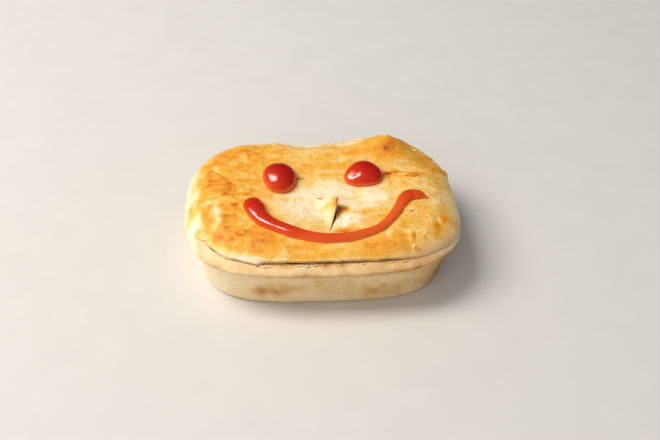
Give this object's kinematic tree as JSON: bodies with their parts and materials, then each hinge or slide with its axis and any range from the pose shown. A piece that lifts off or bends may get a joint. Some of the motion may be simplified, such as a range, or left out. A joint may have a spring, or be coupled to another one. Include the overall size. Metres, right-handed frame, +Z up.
{
  "type": "meat pie",
  "caption": "Oblong single-serve meat pie with a moulded shortcrust case, a puffed browned lid with a raised vent flap, and a smiling face piped in tomato sauce.",
  "frame": {"origin": "middle of the flat base", "axes": "+X along the pie's length to the right of the face, +Y towards its back, the side of the eyes, +Z up"},
  "size_m": [0.138, 0.0989, 0.0439],
  "materials": {
    "shortcrust": "matt, dry and floury",
    "puff_pastry": "browned, with a faint egg-wash gloss",
    "tomato_sauce": "wet gloss"
  },
  "bodies": {
    "root": {"pastry_case": "shortcrust", "pastry_lid": "puff_pastry", "sauce_eye_left": "tomato_sauce", "sauce_eye_right": "tomato_sauce", "sauce_smile": "tomato_sauce"}
  },
  "joints": []
}
